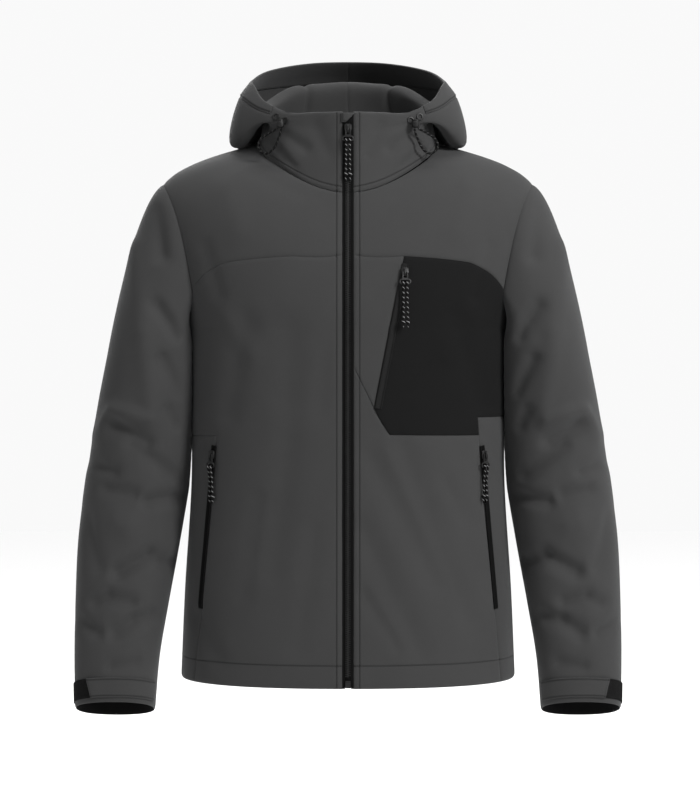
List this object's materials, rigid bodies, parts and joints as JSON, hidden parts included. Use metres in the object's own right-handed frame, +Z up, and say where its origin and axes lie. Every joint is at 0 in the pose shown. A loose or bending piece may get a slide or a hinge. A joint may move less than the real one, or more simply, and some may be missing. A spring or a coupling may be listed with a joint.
{
  "type": "softshell jacket",
  "caption": "Hooded softshell jacket with a full front zip, a slanted chest pocket, zipped hand pockets and strapped cuffs, filled out as worn.",
  "frame": {"origin": "middle of the neck, level with the highest points of the shoulders", "axes": "+Z up, +X to the wearer's left, the front faces -Y"},
  "size_m": [0.6868, 0.3283, 0.8412],
  "materials": {
    "shell": "charcoal grey bonded softshell, matt",
    "panel": "black bonded softshell, matt",
    "tape": "black woven zip tape",
    "patch": "black hook tape",
    "plastic": "black moulded plastic",
    "metal": "black painted metal",
    "cord": "black braid with light grey flecks"
  },
  "bodies": {
    "jacket": {"back": "shell", "yoke_right": "shell", "yoke_left": "shell", "front_right": "shell", "front_left_lower": "shell", "front_left_inner": "shell", "side_right": "shell", "side_left": "shell", "sleeve_right": "shell", "sleeve_left": "shell", "cuff_tab_right": "shell", "cuff_tab_left": "shell", "hood_right": "shell", "hood_left": "shell", "hood_band_right": "shell", "hood_band_left": "shell", "chin_guard": "shell", "chest_pocket_panel": "panel", "zip_tape_right": "tape", "zip_tape_left": "tape", "chest_zip": "tape", "pocket_zip_right": "tape", "pocket_zip_left": "tape", "cuff_patch_right": "patch", "cuff_patch_left": "patch", "zip_chain": "plastic", "zip_box": "plastic", "cord_lock_right": "plastic", "cord_lock_left": "plastic", "slider_main": "metal", "slider_chest": "metal", "slider_pocket_left": "metal", "slider_pocket_right": "metal", "eyelet_left_1": "metal", "eyelet_left_2": "metal", "eyelet_right_1": "metal", "eyelet_right_2": "metal", "draw_loop_left": "cord", "draw_loop_right": "cord"},
    "pull_main": {"pull_tab_main": "metal", "pull_cord_main_a": "cord", "pull_cord_main_b": "cord"},
    "pull_chest": {"pull_tab_chest": "metal", "pull_cord_chest_a": "cord", "pull_cord_chest_b": "cord"},
    "pull_pocket_left": {"pull_tab_pocket_left": "metal", "pull_cord_pocket_left_a": "cord", "pull_cord_pocket_left_b": "cord"},
    "pull_pocket_right": {"pull_tab_pocket_right": "metal", "pull_cord_pocket_right_a": "cord", "pull_cord_pocket_right_b": "cord"}
  },
  "joints": [
    {"name": "pull_main_swing", "type": "hinge", "parent": "jacket", "child": "pull_main", "pos_m": [0, -0.08823, 0.01588], "axis": [-1, 0, 0], "range_deg": [0, 150]},
    {"name": "pull_chest_swing", "type": "hinge", "parent": "jacket", "child": "pull_chest", "pos_m": [0.06948, -0.12969, -0.16117], "axis": [-0.9958, -0.0912, 0], "range_deg": [0, 150]},
    {"name": "pull_pocket_left_swing", "type": "hinge", "parent": "jacket", "child": "pull_pocket_left", "pos_m": [0.17015, -0.0862, -0.38704], "axis": [-0.7138, -0.7003, 0], "range_deg": [0, 150]},
    {"name": "pull_pocket_right_swing", "type": "hinge", "parent": "jacket", "child": "pull_pocket_right", "pos_m": [-0.17015, -0.0862, -0.38704], "axis": [-0.7138, 0.7003, 0], "range_deg": [0, 150]}
  ]
}
